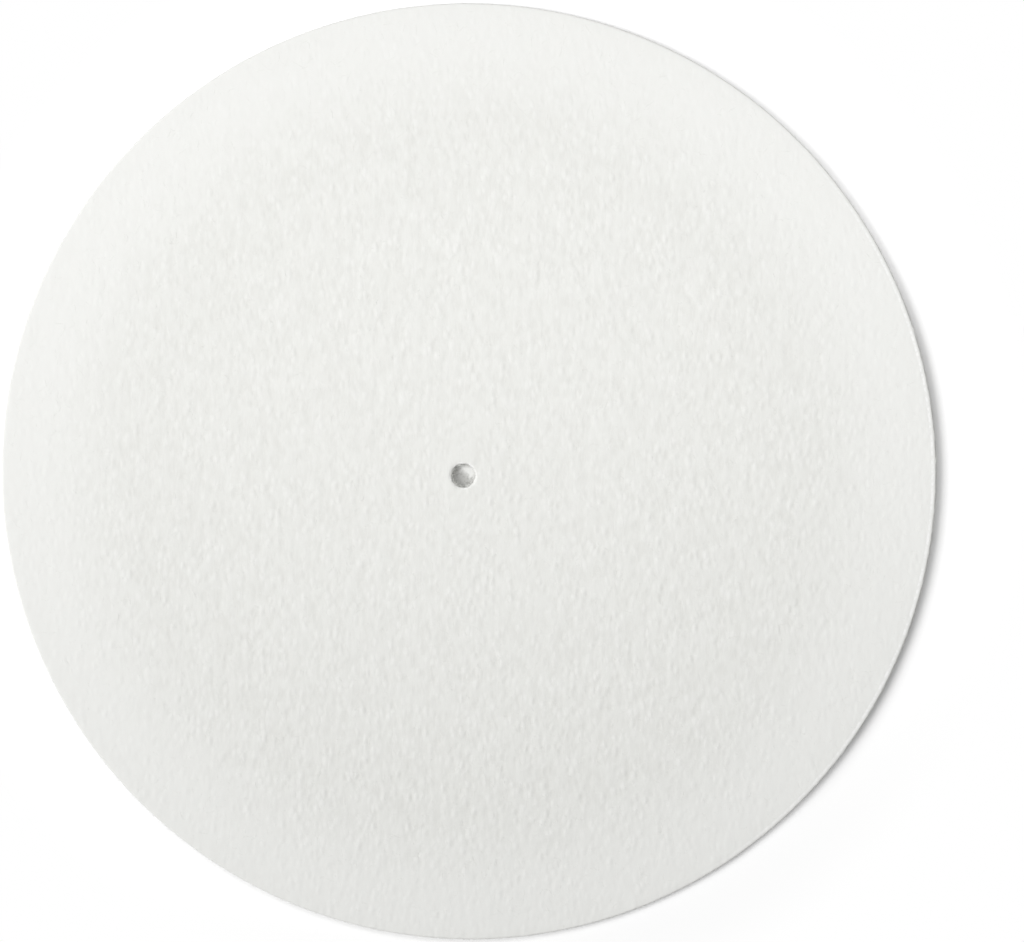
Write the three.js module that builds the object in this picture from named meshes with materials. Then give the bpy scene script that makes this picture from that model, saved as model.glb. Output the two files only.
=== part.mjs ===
// Felt platter mat for a record player: one round sheet of white pressed felt, die-cut in a single
// stroke, with a hole in the middle for the spindle. Its underside lies at z = 0, centred on the
// origin, and +Z points up through the hole, towards the record. Lengths are in millimetres.
import * as THREE from "three";

// Driving dimensions
const matDiameter = 295;
const feltThickness = 2.5;
const spindleDiameter = 7.2;
const spindlePlay = 0.4; // what the hole is wider than the spindle, across its diameter

// The die enters from above. It draws the top face down into a soft roll, and the squeezed felt
// springs back, so that each cut wall stands out a little further at the underside.
const rollWidth = 0.8;
const rollDrop = 0.45;
const cutLean = 0.12;
const footRound = 0.2;

// Smoothness of the round forms
const turnSegments = 144;
const rollSegments = 5;
const footSegments = 2;

const white = 0xedede8;
const quarterTurn = Math.PI / 2;

// The section of one cut edge, from the underside up to the top face. The wall reaches radius where
// it meets the foot; outward is 1 at the rim and -1 at the hole, where the felt ends the other way.
function cutEdge(radius, outward) {
  const footCentre = radius - outward * footRound;
  const rollCentre = radius - outward * (cutLean + rollWidth);
  const rollStart = feltThickness - rollDrop;
  const foot = new THREE.EllipseCurve(footCentre, footRound, outward * footRound, footRound, -quarterTurn, 0);
  const roll = new THREE.EllipseCurve(rollCentre, rollStart, outward * rollWidth, rollDrop, 0, quarterTurn);
  return [...foot.getPoints(footSegments), ...roll.getPoints(rollSegments)];
}

// The whole section, closed on itself: up the rim, across the top and down the wall of the hole.
function matSection() {
  const rim = cutEdge(matDiameter / 2, 1);
  const hole = cutEdge((spindleDiameter + spindlePlay) / 2, -1).reverse();
  return [...rim, ...hole, rim[0].clone()];
}

// Felt as three.js draws it: white, matt and not metallic.
function feltMaterial() {
  return new THREE.MeshStandardMaterial({ color: white, roughness: 0.95, metalness: 0 });
}

// LatheGeometry turns its section about Y, so the turned mat is tipped to lie on the XY plane.
function feltMat() {
  const turned = new THREE.LatheGeometry(matSection(), turnSegments);
  turned.rotateX(quarterTurn);
  const mesh = new THREE.Mesh(turned, feltMaterial());
  mesh.name = "felt_mat";
  return mesh;
}

const turntableMat = new THREE.Group();
turntableMat.name = "turntable_platter_mat";
turntableMat.add(feltMat());

export default turntableMat;
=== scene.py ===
import math
import random

import bpy
from mathutils import Matrix, Vector
from mathutils.bvhtree import BVHTree


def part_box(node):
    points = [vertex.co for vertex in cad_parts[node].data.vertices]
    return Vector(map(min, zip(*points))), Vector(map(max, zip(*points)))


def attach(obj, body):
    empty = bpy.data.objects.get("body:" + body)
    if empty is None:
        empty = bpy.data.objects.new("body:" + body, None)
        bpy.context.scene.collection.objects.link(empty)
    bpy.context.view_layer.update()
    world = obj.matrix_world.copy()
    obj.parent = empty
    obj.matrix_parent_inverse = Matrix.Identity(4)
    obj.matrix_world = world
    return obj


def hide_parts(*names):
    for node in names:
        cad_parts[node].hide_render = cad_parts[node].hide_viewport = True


# A white felt platter mat on a pale floor, seen from nearly straight above. Lengths are in metres.
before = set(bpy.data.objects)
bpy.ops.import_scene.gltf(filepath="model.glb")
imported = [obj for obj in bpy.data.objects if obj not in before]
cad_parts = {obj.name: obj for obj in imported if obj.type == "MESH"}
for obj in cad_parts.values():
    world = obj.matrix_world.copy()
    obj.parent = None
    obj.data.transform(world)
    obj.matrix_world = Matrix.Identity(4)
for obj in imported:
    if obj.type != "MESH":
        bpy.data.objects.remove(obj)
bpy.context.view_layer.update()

mm = 0.001
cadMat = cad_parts["felt_mat"]
lowCorner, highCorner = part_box("felt_mat")
rimRadius = (highCorner.x - lowCorner.x) / 2
thickness = highCorner.z - lowCorner.z
holeRadius = min(math.hypot(v.co.x, v.co.y) for v in cadMat.data.vertices)
print("frame: mat of", round(2 * rimRadius / mm, 1), "mm, hole of", round(2 * holeRadius / mm, 1), "mm")


# Camera, a little to the right of the mat's middle and high over it
cameraView = {
    "lens": 70,
    "sensor": 36,
    "clipStart": 0.01,
    "place": (0.0495, 0.0262, 0.6265),
    "aim": (0.01526, 0.00142, 0),
    "top": (0, 1, 0),  # what the picture shows upwards
}


def turnedTo(place, aim, top):  # a camera or lamp at place that looks at aim
    ahead = (Vector(aim) - Vector(place)).normalized()
    right = ahead.cross(Vector(top)).normalized()
    turned = Matrix((right, right.cross(ahead), -ahead)).transposed()
    return Matrix.Translation(place) @ turned.to_4x4()


def makeCamera():
    view = cameraView
    bpy.ops.object.camera_add()
    camera = bpy.context.object
    camera.name = "camera"
    camera.data.lens = view["lens"]
    camera.data.sensor_width = view["sensor"]
    camera.data.clip_start = view["clipStart"]
    camera.matrix_world = turnedTo(view["place"], view["aim"], view["top"])
    bpy.context.scene.camera = camera


# Shader maths: sums on a Signal add their Math nodes
class Signal:
    def __init__(self, shader, socket):
        self.shader = shader
        self.socket = socket

    def maths(self, operation, first, second=0):
        return self.shader.node("Math", {"operation": operation}, {0: first, 1: second})

    def __add__(self, other):
        return self.maths("ADD", self, other)

    def __radd__(self, other):
        return self.maths("ADD", other, self)

    def __sub__(self, other):
        return self.maths("SUBTRACT", self, other)

    def __rsub__(self, other):
        return self.maths("SUBTRACT", other, self)

    def __mul__(self, other):
        return self.maths("MULTIPLY", self, other)

    def __rmul__(self, other):
        return self.maths("MULTIPLY", other, self)

    def __pow__(self, other):
        return self.maths("POWER", self, other)

    def __abs__(self):
        return self.maths("ABSOLUTE", self)

    def rise(self, low, high):  # 0 up to low, 1 from high on, and smooth between them
        values = {"Value": self, "From Min": low, "From Max": high}
        return self.shader.node("MapRange", {"interpolation_type": "SMOOTHSTEP"}, values)

    def ring(self, low, high, soft):  # 1 between low and high, with soft edges outside them
        return self.rise(low - soft, low) - self.rise(high, high + soft)


class Shader:
    def __init__(self, owner):  # a material or a world
        owner.use_nodes = True
        self.owner = owner
        self.nodes = owner.node_tree.nodes
        self.links = owner.node_tree.links
        self.nodes.clear()

    def node(self, kind, settings=None, values=None, output=0):
        made = self.nodes.new("ShaderNode" + kind)
        for name, value in (settings or {}).items():
            setattr(made, name, value)
        for name, value in (values or {}).items():
            if isinstance(value, Signal):
                self.links.new(value.socket, made.inputs[name])
            else:
                made.inputs[name].default_value = value
        return Signal(self, made.outputs[output]) if len(made.outputs) else None

    def place(self):
        return self.node("TexCoord", output="Object")

    def split(self, place):
        return [self.node("SeparateXYZ", values={0: place}, output=axis) for axis in "XY"]

    def fromAxis(self, place):
        x, y = self.split(place)
        return (x * x + y * y) ** 0.5

    def toward(self, place, way):  # 1 on the side of the axis that the way points to, -1 opposite
        x, y = self.split(place)
        return (x * way[0] + y * way[1]) * self.fromAxis(place) ** -1

    def stretched(self, place, turn, scale, shift=(0, 0, 0)):
        values = {"Vector": place, "Rotation": (0, 0, turn), "Scale": scale, "Location": shift}
        return self.node("Mapping", values=values)

    def noise(self, place, size, detail=1, distortion=0):
        values = {"Vector": place, "Scale": 1 / size, "Detail": detail, "Distortion": distortion}
        return self.node("TexNoise", values=values)

    def tips(self, place, spacing, reach=0.6):  # round spots, 1 in the middle of each, 0 outside
        far = self.node("TexVoronoi", values={"Vector": place, "Scale": 1 / spacing}, output="Distance")
        return 1 - far.rise(0, reach)

    def blend(self, factor, first, second):  # the first colour at 0, the second at 1
        values = {"Factor": factor}
        for socket, color in ((6, first), (7, second)):  # the colours of a Mix node
            values[socket] = (*color, 1) if isinstance(color, tuple) else color
        return self.node("Mix", {"data_type": "RGBA"}, values, output=2)

    def seenDirectly(self):
        names = ("Is Camera Ray", "Is Glossy Ray", "Is Transmission Ray")
        camera, glossy, through = [self.node("LightPath", output=name) for name in names]
        return camera + glossy + through

    def finish(self, surface, kind="OutputMaterial"):
        self.node(kind, values={"Surface": surface})
        return self.owner


# Felt: clumps of wool pressed into a sheet, with single strands crossing on its face.
# Heights are in millimetres. Ends say where a pattern begins to show and where it shows in full,
# and shares how much of its own colour it gets there.
feltLook = {
    "color": (0.838, 0.841, 0.811),
    "hollow": (0.806, 0.807, 0.776),  # between the clumps
    "strandColor": (0.876, 0.878, 0.853),
    "roughness": 0.93,
    "specular": 0.2,
    "runTurn": 0.06,  # the felt's run is up and down in the picture
    "runStretch": 0.6,
    "clumpSize": 3.0 * mm,
    "clumpHeight": 0.12,
    "clumpEnds": (0.3, 0.6),
    "crumbSize": 2.4 * mm,
    "crumbTurn": 1,
    "crumbShift": (0.4, 0.1, 0),
    "crumbHeight": 0.03,
    "crumbEnds": (0.55, 0.8),
    "tipSpacing": 2.2 * mm,  # tips of wool stand out along the run
    "pitSpacing": 2.4 * mm,  # and pits lie between them
    "tipHeight": 0.089,
    "tipShare": 0.9,
    "patchSize": 6 * mm,  # tips and pits gather in patches
    "patchEnds": (0.35, 0.6),
    "patchDepth": 0.4,  # how much weaker they are outside a patch
    "strandSpacing": 1.7 * mm,
    "strandTurns": (0.25, 1.35, 2.5),
    "strandStretch": 0.2,
    "strandWave": 0.4,
    "strandWidth": 0.07,
    "strandHeight": 0.002,
    "strandShare": 0.25,
    "mottleSize": 9 * mm,
    "mottleEnds": (0.3, 0.7),
    "mottleShare": 0.25,
    "slope": 1.5,  # per metre, how much flatter the felt grows upwards in the picture
    # the outer band, which is pressed smoother
    "band": (0.902, 0.905, 0.882),
    "bandShare": 0.75,
    "bandWidth": 44 * mm,
    "bandSoft": 37 * mm,
    "pressed": 0.4,  # how much flatter it is
    # the cut walls, which show the felt's layers
    "cut": (0.89, 0.89, 0.866),
    "cutShade": (0.64, 0.64, 0.618),  # on the side that faces away from the soft box
    "rimCutEnds": (-0.85 * mm, -0.3 * mm),  # measured outwards from the rim
    "holeCutEnds": (0.05 * mm, 0.3 * mm),  # measured outwards from the hole
    "holeShade": 0.4,
    "layerSize": 0.35 * mm,
    "layerStretch": 0.12,
    "layerHeight": 0.10,
    "layerEnds": (0.3, 0.6),
    # the lips beside them, painted lighter as a highlight; at the rim only on the side of litWay
    "lipHighlight": (0.985, 0.985, 0.973),
    "litWay": (0.99, -0.14),  # the side of the rim with a light lip over a dark wall
    "litEnds": (0.5, 0.95),
    "rimHighlight": (-1.5 * mm, -1.1 * mm),
    "rimLipSoft": 0.3 * mm,
    "rimLipLeast": 0.3,  # between the flecks
    "holeLitWay": (0.75, 0.66),
    "holeLitEnds": (-0.2, 0.7),
    "holeHighlight": 0.3 * mm,
    "holeLipSoft": 0.5 * mm,
    "holeLipShare": 0.8,
    "fleckSize": 1.3 * mm,  # flecks break up the painted highlight along the lips
    "fleckEnds": (0.42, 0.6),
}
fibreLook = {"tintSize": 4 * mm, "tintEnds": (0.35, 0.65), "roughness": 0.8, "specular": 0.3}


def feltMaterial():
    look = feltLook
    shader = Shader(bpy.data.materials.new("felt"))
    place = shader.place()
    y = shader.split(place)[1]
    radius = shader.fromAxis(place)

    # where the outer band, the cut walls and the lips with their painted highlight are
    bandStart = rimRadius - look["bandWidth"]
    band = radius.rise(bandStart, bandStart + look["bandSoft"])
    rimCut = radius.rise(*[rimRadius + end for end in look["rimCutEnds"]])
    holeCut = 1 - radius.rise(*[holeRadius + end for end in look["holeCutEnds"]])
    cut = rimCut + holeCut
    rimLit = shader.toward(place, look["litWay"]).rise(*look["litEnds"])
    holeLit = shader.toward(place, look["holeLitWay"]).rise(*look["holeLitEnds"])
    # painted highlight on the lips: at the rim on the lit side only, at the hole all round, and on the
    # hole's cut wall on its lit side only
    rimHighlight = radius.ring(*[rimRadius + end for end in look["rimHighlight"]], look["rimLipSoft"]) * rimLit
    holeHighlight = radius.ring(0, holeRadius + look["holeHighlight"], look["holeLipSoft"])
    holeHighlight = holeHighlight * (1 - holeCut * (1 - holeLit))

    # relief
    run = shader.stretched(place, look["runTurn"], (1, look["runStretch"], 1))
    clumps = shader.noise(run, look["clumpSize"], detail=0)
    turned = shader.stretched(place, look["crumbTurn"], (1, 1, 1), look["crumbShift"])
    crumbs = shader.noise(turned, look["crumbSize"], detail=0).rise(*look["crumbEnds"])
    relief = (clumps - 0.5) * look["clumpHeight"] + crumbs * look["crumbHeight"]
    patches = shader.noise(place, look["patchSize"]).rise(*look["patchEnds"])
    patches = patches * look["patchDepth"] + (1 - look["patchDepth"])
    tips = shader.tips(run, look["tipSpacing"]) * patches
    pits = shader.tips(run, look["pitSpacing"]) * patches
    relief = relief + (tips - pits) * look["tipHeight"]
    strands = 0
    for turn in look["strandTurns"]:
        along = shader.stretched(place, turn, (1, look["strandStretch"], 1))
        waves = shader.noise(along, look["strandSpacing"], distortion=look["strandWave"])
        strands = (1 - abs(waves - 0.5).rise(0, look["strandWidth"])) + strands
    flatter = (1 - look["pressed"] * band) * (1 - look["slope"] * y)
    relief = (relief + strands * look["strandHeight"]) * flatter
    flat = shader.stretched(place, 0, (look["layerStretch"], look["layerStretch"], 1))
    layers = shader.noise(flat, look["layerSize"], detail=2)
    relief = relief + (layers - 0.5) * cut * look["layerHeight"]
    bump = shader.node("Bump", values={"Strength": 1, "Distance": mm, "Height": relief})

    # colour
    mottle = shader.noise(place, look["mottleSize"], detail=2).rise(*look["mottleEnds"])
    color = shader.blend(clumps.rise(*look["clumpEnds"]), look["hollow"], look["color"])
    light = strands * look["strandShare"] + tips * look["tipShare"]
    color = shader.blend(light, color, look["strandColor"])
    color = shader.blend(pits, color, look["hollow"])
    color = shader.blend(mottle * look["mottleShare"], color, look["hollow"])
    color = shader.blend(band * look["bandShare"], color, look["band"])
    shade = rimLit * rimCut + holeCut * look["holeShade"]
    cutColor = shader.blend(shade, look["cut"], look["cutShade"])
    color = shader.blend(cut * layers.rise(*look["layerEnds"]), color, cutColor)
    flecks = shader.noise(place, look["fleckSize"]).rise(*look["fleckEnds"])
    rimHighlight = rimHighlight * (look["rimLipLeast"] + (1 - look["rimLipLeast"]) * flecks)
    # paints the highlight on the lips, broken by the flecks
    color = shader.blend(rimHighlight + holeHighlight * flecks * look["holeLipShare"], color, look["lipHighlight"])
    values = {
        "Base Color": color,
        "Roughness": look["roughness"],
        "Specular IOR Level": look["specular"],
        "Normal": bump,
    }
    return shader.finish(shader.node("BsdfPrincipled", values=values))


def fibreMaterial():
    look = fibreLook
    shader = Shader(bpy.data.materials.new("felt_fibre"))
    tint = shader.noise(shader.place(), look["tintSize"]).rise(*look["tintEnds"])
    values = {
        "Base Color": shader.blend(tint, feltLook["color"], feltLook["strandColor"]),
        "Roughness": look["roughness"],
        "Specular IOR Level": look["specular"],
    }
    return shader.finish(shader.node("BsdfPrincipled", values=values))


def deselectAll():
    if bpy.context.object and bpy.context.object.mode != "OBJECT":
        bpy.ops.object.mode_set(mode="OBJECT")
    bpy.ops.object.select_all(action="DESELECT")


def selectWhere(mesh, kind, test):
    # in edit mode: selects the vertices or edges of the mesh that pass the test
    bpy.ops.mesh.select_mode(type={"vertices": "VERT", "edges": "EDGE"}[kind])
    bpy.ops.mesh.select_all(action="DESELECT")
    bpy.ops.object.mode_set(mode="OBJECT")
    for item in getattr(mesh, kind):
        item.select = test(item)
    bpy.ops.object.mode_set(mode="EDIT")


# The sheet: its section is shaped as a flat face, then spun about the hole
sheetForm = {
    "steps": 480,
    "lean": 0.12 * mm,
    "rollWidth": 0.8 * mm,
    "rollDrop": 0.45 * mm,
    "rollSegments": 4,
    "footRound": 0.2 * mm,
    "footSegments": 2,
    "topCuts": 78,
    "underCuts": 26,
    "wallCuts": 5,
    "weld": 0.001 * mm,
    "swell": 0.16 * mm,  # how far the face rises and falls
    "swellSize": 24 * mm,
    "dimple": 0.05 * mm,
    "dimpleSize": 6 * mm,
    "rimWander": 0.16 * mm,
    "rimWanderSize": 9 * mm,
    "holeWander": 0.3 * mm,
    "holeWanderSize": 1.6 * mm,
    "edgeWidth": mm,  # what counts as the edge, at the rim and at the hole
    "underBelow": 0.01 * mm,  # the underside lies lower than this
    "wallAbove": 0.1 * mm,
    "faceAbove": thickness / 2 + 0.5 * mm,
    "topMap": (0.39, 0.385),  # middle and reach of the top and the walls in the map for the bake
    "underMap": (0.8, 0.19),
    "wallSpread": 3,  # how much wider the outer wall is drawn there
}


def makeSection():
    form = sheetForm
    deselectAll()
    width = rimRadius - holeRadius
    middleRadius = (rimRadius + holeRadius) / 2
    middle = (middleRadius, 0, thickness / 2)
    bpy.ops.mesh.primitive_plane_add(size=1, location=middle, rotation=(math.radians(90), 0, 0))
    section = bpy.context.object
    section.name = "felt_sheet"
    section.scale = (width, thickness, 1)
    bpy.ops.object.transform_apply(location=True, rotation=True, scale=True)
    mesh = section.data
    bpy.ops.object.mode_set(mode="EDIT")
    bpy.ops.mesh.select_mode(type="FACE")
    bpy.ops.mesh.select_all(action="SELECT")
    bpy.ops.mesh.delete(type="ONLY_FACE")

    # the top corners draw in, then take their roll while the section is stretched upwards
    for inward, low, high in ((-1, middleRadius, 1), (1, 0, middleRadius)):
        selectWhere(mesh, "vertices", lambda v: v.co.z > thickness / 2 and low < v.co.x < high)
        bpy.ops.transform.translate(value=(inward * form["lean"], 0, 0))
    stretch = form["rollWidth"] / form["rollDrop"]
    bpy.ops.mesh.select_all(action="SELECT")
    bpy.ops.transform.resize(value=(1, 1, stretch), center_override=(0, 0, 0))
    selectWhere(mesh, "vertices", lambda v: v.co.z > thickness)
    bpy.ops.mesh.bevel(offset=form["rollWidth"], segments=form["rollSegments"], affect="VERTICES")
    bpy.ops.mesh.select_all(action="SELECT")
    bpy.ops.transform.resize(value=(1, 1, 1 / stretch), center_override=(0, 0, 0))
    selectWhere(mesh, "vertices", lambda v: v.co.z < form["underBelow"])
    bpy.ops.mesh.bevel(offset=form["footRound"], segments=form["footSegments"], affect="VERTICES")

    # long edges are cut for the spin
    def ends(edge, axis):
        return [mesh.vertices[i].co[axis] for i in edge.vertices]

    def span(edge, axis):
        first, last = ends(edge, axis)
        return abs(first - last)

    def isLong(edge):
        return span(edge, 0) > width / 2

    selectWhere(mesh, "edges", lambda e: isLong(e) and ends(e, 2)[0] > thickness / 2)
    bpy.ops.mesh.subdivide(number_cuts=form["topCuts"])
    selectWhere(mesh, "edges", isLong)
    bpy.ops.mesh.subdivide(number_cuts=form["underCuts"])
    selectWhere(mesh, "edges", lambda e: span(e, 2) > thickness / 2)
    bpy.ops.mesh.subdivide(number_cuts=form["wallCuts"])
    bpy.ops.object.mode_set(mode="OBJECT")
    return section


def spinSection():
    bpy.ops.object.mode_set(mode="EDIT")
    bpy.ops.mesh.select_all(action="SELECT")
    full = math.radians(360)
    bpy.ops.mesh.spin(steps=sheetForm["steps"], angle=full, center=(0, 0, 0), axis=(0, 0, 1))
    bpy.ops.mesh.select_all(action="SELECT")
    bpy.ops.mesh.remove_doubles(threshold=sheetForm["weld"])
    bpy.ops.mesh.normals_make_consistent(inside=False)
    bpy.ops.object.mode_set(mode="OBJECT")


def addGroup(piece, name, test):
    group = piece.vertex_groups.new(name=name)
    group.add([v.index for v in piece.data.vertices if test(v.co)], 1, "REPLACE")


def displace(piece, group, size, height, direction, middle=0.5):
    clouds = bpy.data.textures.new(group + "_clouds", "CLOUDS")
    clouds.noise_scale = size
    clouds.noise_depth = 1
    modifier = piece.modifiers.new(group, "DISPLACE")
    modifier.texture = clouds
    modifier.texture_coords = "LOCAL"
    modifier.vertex_group = group
    modifier.direction = direction
    modifier.mid_level = middle
    modifier.strength = height
    bpy.context.view_layer.objects.active = piece
    bpy.ops.object.modifier_apply(modifier=modifier.name)


def mapSheet(mesh):
    # top and walls are unrolled into one round island, and the underside into a smaller one
    form = sheetForm
    unrolled = mesh.uv_layers[0]
    unrolled.name = "OFBake"
    reach = rimRadius + form["wallSpread"] * thickness
    for face in mesh.polygons:
        isUnder = face.normal.z < -0.5
        middle, share = form["underMap"] if isUnder else form["topMap"]
        for corner in face.loop_indices:
            co = mesh.vertices[mesh.loops[corner].vertex_index].co
            away = math.hypot(co.x, co.y)
            drop = 0 if isUnder else thickness - co.z
            if away > rimRadius - form["edgeWidth"]:
                along = away + form["wallSpread"] * drop
            elif away < holeRadius + form["edgeWidth"]:
                along = away - drop
            else:
                along = away
            size = share * along / reach / away
            unrolled.data[corner].uv = (middle + co.x * size, middle + co.y * size)


def makeSheet():
    form = sheetForm

    def isRimWall(co):
        return co.z > form["wallAbove"] and math.hypot(co.x, co.y) > rimRadius - form["edgeWidth"]

    def isHoleWall(co):
        return co.z > form["wallAbove"] and math.hypot(co.x, co.y) < holeRadius + form["edgeWidth"]

    sheet = makeSection()
    spinSection()
    addGroup(sheet, "wall", isRimWall)
    addGroup(sheet, "face", lambda co: co.z > form["faceAbove"])
    addGroup(sheet, "under", lambda co: co.z < form["underBelow"])
    displace(sheet, "wall", form["rimWanderSize"], form["rimWander"], "NORMAL")
    addGroup(sheet, "hole_wall", isHoleWall)
    displace(sheet, "hole_wall", form["holeWanderSize"], form["holeWander"], "NORMAL", middle=0)
    displace(sheet, "face", form["swellSize"], form["swell"], "Z")
    displace(sheet, "face", form["dimpleSize"], form["dimple"], "Z")
    displace(sheet, "under", form["dimpleSize"], form["dimple"], "Z", middle=0)
    sheet.vertex_groups.clear()
    bpy.ops.object.shade_smooth()
    mapSheet(sheet.data)
    sheet.data.materials.append(feltMaterial())
    return sheet


# Loose fibres: short closed strands with four sides, rooted in the felt
strandForm = {
    "sides": 4,  # as many as a curve with bevel resolution 0 has
    "taper": 0.4,
    "weld": 0.0005 * mm,  # closes the caps
    "margin": 0.06,  # the map's sizes are shares of the square that each strand gets in it
    "tube": (0.84, 0.62),
    "cap": (0.3, 0.16),
}


def mapStrands(mesh, count, rings):
    # each strand gets a square of its own in the map for the bake
    form = strandForm
    sides = form["sides"]
    rows = math.ceil(math.sqrt(count))
    capCorners = 2 * sides * count  # these come first in the mesh
    unrolled = mesh.uv_layers[0]
    unrolled.name = "OFBake"
    for face in mesh.polygons:
        corners = list(face.vertices)
        isCap = corners[0] < capCorners
        order = corners[0] // (2 * sides) if isCap else (corners[0] - capCorners) // (sides * rings)
        wraps = not isCap and {c % sides for c in corners} == {0, sides - 1}
        for loop, corner in zip(face.loop_indices, corners):
            side = corner % sides
            if isCap:
                u = form["margin"] + 0.5 * (corner // sides % 2) + form["cap"][0] * (side in (1, 2))
                v = 1 - form["margin"] - form["cap"][1] * (side > 1)
            else:
                ring = (corner - capCorners) // sides % rings
                u = form["margin"] + form["tube"][0] * (sides if wraps and side == 0 else side) / sides
                v = form["margin"] + form["tube"][1] * ring / (rings - 1)
            unrolled.data[loop].uv = ((order % rows + u) / rows, (order // rows + v) / rows)


def strandPiece(name, strands, radius, material):
    curve = bpy.data.curves.new(name, "CURVE")
    curve.dimensions = "3D"
    curve.bevel_depth = radius
    curve.bevel_resolution = 0
    curve.use_fill_caps = True
    for points in strands:
        spline = curve.splines.new("POLY")
        spline.points.add(len(points) - 1)
        for point, co in zip(spline.points, points):
            point.co = (*co, 1)
        spline.points[0].radius = spline.points[-1].radius = strandForm["taper"]
    piece = bpy.data.objects.new(name, curve)
    bpy.context.scene.collection.objects.link(piece)
    deselectAll()
    piece.select_set(True)
    bpy.context.view_layer.objects.active = piece
    bpy.ops.object.convert(target="MESH")
    mapStrands(piece.data, len(strands), len(strands[0]))
    bpy.ops.object.mode_set(mode="EDIT")
    bpy.ops.mesh.select_all(action="SELECT")
    bpy.ops.mesh.remove_doubles(threshold=strandForm["weld"])
    bpy.ops.object.mode_set(mode="OBJECT")
    piece.data.materials.clear()
    piece.data.materials.append(material)
    bpy.ops.object.shade_smooth()
    return piece


# Fibres on the face rise from the felt and go back into it
faceFibres = {
    "count": 4200,
    "seed": 5,
    "radius": 0.032 * mm,
    "steps": 5,
    "length": (1.6 * mm, 5.5 * mm),
    "rise": (0.01 * mm, 0.07 * mm),
    "bend": 0.45,
    "fromEdge": 2 * mm,
    "rayHeight": 10 * mm,  # rays come down from here to find the face
}


def faceStrands(surface):
    form = faceFibres
    chance = random.Random(form["seed"])
    down = Vector((0, 0, -1))
    nearest = holeRadius + form["fromEdge"]
    farthest = rimRadius - form["fromEdge"]
    strands = []
    for _ in range(form["count"]):
        away = math.sqrt(chance.uniform(nearest ** 2, farthest ** 2))
        turn = chance.uniform(0, math.tau)
        heading = chance.uniform(0, math.tau)
        step = chance.uniform(*form["length"]) / form["steps"]
        rise = chance.uniform(*form["rise"])
        x, y = away * math.cos(turn), away * math.sin(turn)
        points = []
        for i in range(form["steps"] + 1):
            hit = surface.ray_cast(Vector((x, y, form["rayHeight"])), down)[0]
            if hit is None:
                break
            lift = rise * math.sin(math.pi * i / form["steps"]) - form["radius"]
            points.append((x, y, hit.z + lift))
            heading += chance.gauss(0, form["bend"])
            x += step * math.cos(heading)
            y += step * math.sin(heading)
        if len(points) == form["steps"] + 1:
            strands.append(points)
    return strands


# Fibres on the cut walls stand out of them
rimFibres = {
    "count": 5200,
    "seed": 11,
    "radius": 0.018 * mm,
    "steps": 3,
    "length": (0.25 * mm, 0.9 * mm),
    "bend": 0.5,
    "rayStart": rimRadius + 10 * mm,  # from the axis
    "rayWay": -1,  # inwards
}
holeFibres = {
    "count": 180,
    "seed": 17,
    "radius": 0.045 * mm,
    "steps": 3,
    "length": (0.5 * mm, 1.5 * mm),
    "bend": 0.6,
    "rayStart": 0,
    "rayWay": 1,
}
cutFibres = {
    "levels": (0.15 * mm, thickness - 0.1 * mm),
    "root": 0.05 * mm,  # how deep the root sits
    "floorGap": 0.05 * mm,
    "sideways": 0.7,  # spread of the ways that they leave the wall
    "upwards": (0.1, 0.4),
}


def cutStrands(surface, form):
    # a ray finds each strand's root on the cut wall
    cut = cutFibres
    chance = random.Random(form["seed"])
    strands = []
    for _ in range(form["count"]):
        turn = chance.uniform(0, math.tau)
        outward = Vector((math.cos(turn), math.sin(turn), 0))
        start = outward * form["rayStart"] + Vector((0, 0, chance.uniform(*cut["levels"])))
        hit, normal = surface.ray_cast(start, outward * form["rayWay"])[:2]
        if hit is None:
            continue
        sideways = Vector((-outward.y, outward.x, 0)) * chance.gauss(0, cut["sideways"])
        heading = normal + sideways + Vector((0, 0, chance.gauss(*cut["upwards"])))
        step = chance.uniform(*form["length"]) / form["steps"]
        place = hit - normal * cut["root"]
        points = [place]
        for _ in range(form["steps"]):
            heading = heading.normalized()
            place = place + heading * step
            place.z = max(place.z, cut["floorGap"])
            points.append(place)
            heading += Vector([chance.gauss(0, form["bend"]) for _ in range(3)])
        strands.append(points)
    return strands


def makeFibres(sheet):
    surface = BVHTree.FromObject(sheet, bpy.context.evaluated_depsgraph_get())
    material = fibreMaterial()
    rimRoots = cutStrands(surface, rimFibres)
    holeRoots = cutStrands(surface, holeFibres)
    return [
        strandPiece("face_fibres", faceStrands(surface), faceFibres["radius"], material),
        strandPiece("rim_fibres", rimRoots, rimFibres["radius"], material),
        strandPiece("hole_fibres", holeRoots, holeFibres["radius"], material),
    ]


# Floor: pale, white to the camera from a little past the mat
floorLook = {
    "radius": 0.9,
    "sides": 96,
    "color": (0.92, 0.92, 0.92),
    "lift": 0.2,  # a glow that shows where the floor is seen directly, and lights nothing
    "clear": (0.153, 0.18),  # from the axis: all white from the second on
    # close to the mat, on the side of its shadow, where the floor is darker and isn't lifted
    "shadeColor": (0.755, 0.755, 0.75),
    "shadowWay": (0.990, -0.139),
    "shadowReach": 6 * mm,
    "shadowEnds": (0.76, 0.97),
    # under the hole: painted shade in grey, and painted light towards the upper right, with specks
    "underHoleShading": (0.50, 0.50, 0.485),
    "underHoleLight": (0.84, 0.84, 0.825),
    "underHoleSpeck": (0.34, 0.34, 0.325),
    "underHoleEnds": (2 * mm, 4 * mm),  # measured outwards from the hole
    "lightWay": (0.6, 0.8),
    "lightEnds": (-0.4 * mm, 2.4 * mm),
    "fuzz": 3 * mm,
    "fuzzSize": 1.4 * mm,
    "speckSize": 0.9 * mm,
    "speckEnds": (0.5, 0.65),
    "speckShare": 0.7,
}


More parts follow.
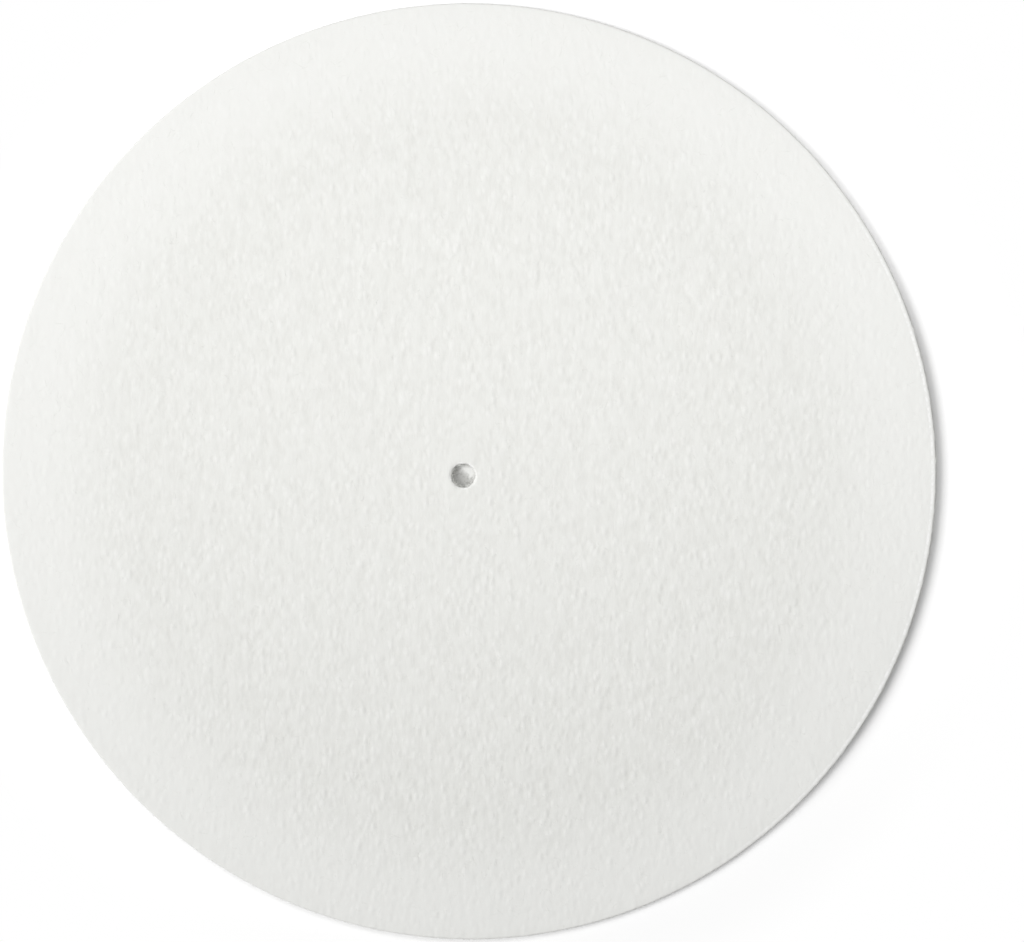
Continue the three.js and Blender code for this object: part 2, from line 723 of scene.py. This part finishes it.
def makeFloor():
    look = floorLook
    deselectAll()
    bpy.ops.mesh.primitive_circle_add(vertices=look["sides"], radius=look["radius"], fill_type="NGON")
    floor = bpy.context.object
    floor.name = "floor"
    shader = Shader(bpy.data.materials.new("floor"))
    place = shader.place()
    x, y = shader.split(place)
    radius = shader.fromAxis(place)
    seen = shader.seenDirectly()

    # painted shade under the hole, with painted light towards the upper right
    fuzz = (shader.noise(place, look["fuzzSize"], detail=2) - 0.5) * look["fuzz"]
    across = x * look["lightWay"][0] + y * look["lightWay"][1] + fuzz
    specks = shader.noise(place, look["speckSize"]).rise(*look["speckEnds"]) * look["speckShare"]
    underHoleShading = shader.blend(specks, look["underHoleShading"], look["underHoleSpeck"])
    underHoleShading = shader.blend(across.rise(*look["lightEnds"]), underHoleShading, look["underHoleLight"])

    near = 1 - radius.rise(rimRadius - mm, rimRadius + look["shadowReach"])
    shaded = shader.toward(place, look["shadowWay"]).rise(*look["shadowEnds"]) * near
    ground = shader.blend(shaded, look["color"], look["shadeColor"])
    outside = radius.rise(*[holeRadius + end for end in look["underHoleEnds"]])
    matt = shader.node("BsdfDiffuse", values={"Color": shader.blend(outside, underHoleShading, ground)})
    lift = outside * (1 - shaded) * look["lift"]
    glow = shader.node("Emission", values={"Color": (1, 1, 1, 1), "Strength": seen * lift})
    lit = shader.node("AddShader", values={0: matt, 1: glow})
    white = shader.node("Emission", values={"Color": (1, 1, 1, 1), "Strength": 1})
    away = radius.rise(*look["clear"])
    surface = shader.node("MixShader", values={0: away * seen, 1: lit, 2: white})
    floor.data.materials.append(shader.finish(surface))


# Light: a soft box on the left, a weak strip close over the mat, and an even fill
lamps = {
    "left_softbox": {"place": (-1.9, -0.2, 1.66), "size": (1.2, 1.2), "watts": 37.8},
    "top_strip": {"place": (0.025, 0.115, 0.33), "size": (0.62, 0.16), "watts": 0.73},
}
worldLook = {"fill": 0.25}


def makeLamps():
    for name, lamp in lamps.items():
        bpy.ops.object.light_add(type="AREA")
        light = bpy.context.object
        light.name = name
        light.data.shape = "RECTANGLE"
        light.data.size, light.data.size_y = lamp["size"]
        light.data.energy = lamp["watts"]
        light.matrix_world = turnedTo(lamp["place"], (0, 0, 0), (0, 1, 0))
        light.visible_camera = False


def makeWorld():
    shader = Shader(bpy.data.worlds.new("studio"))
    fill = worldLook["fill"]
    strength = fill + shader.seenDirectly() * (1 - fill)  # white where it is seen directly
    sky = shader.node("Background", values={"Color": (1, 1, 1, 1), "Strength": strength})
    bpy.context.scene.world = shader.finish(sky, "OutputWorld")


bpy.context.scene.view_settings.view_transform = "Standard"
makeCamera()
print("camera: placed")
sheet = makeSheet()
print("sheet:", len(sheet.data.polygons), "faces")
fibres = makeFibres(sheet)
print("fibres:", sum(len(piece.data.polygons) for piece in fibres), "faces")

for piece in [sheet, *fibres]:
    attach(piece, "root")
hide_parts("felt_mat")

makeFloor()
makeLamps()
makeWorld()
print("stage: floor, lamps and world")
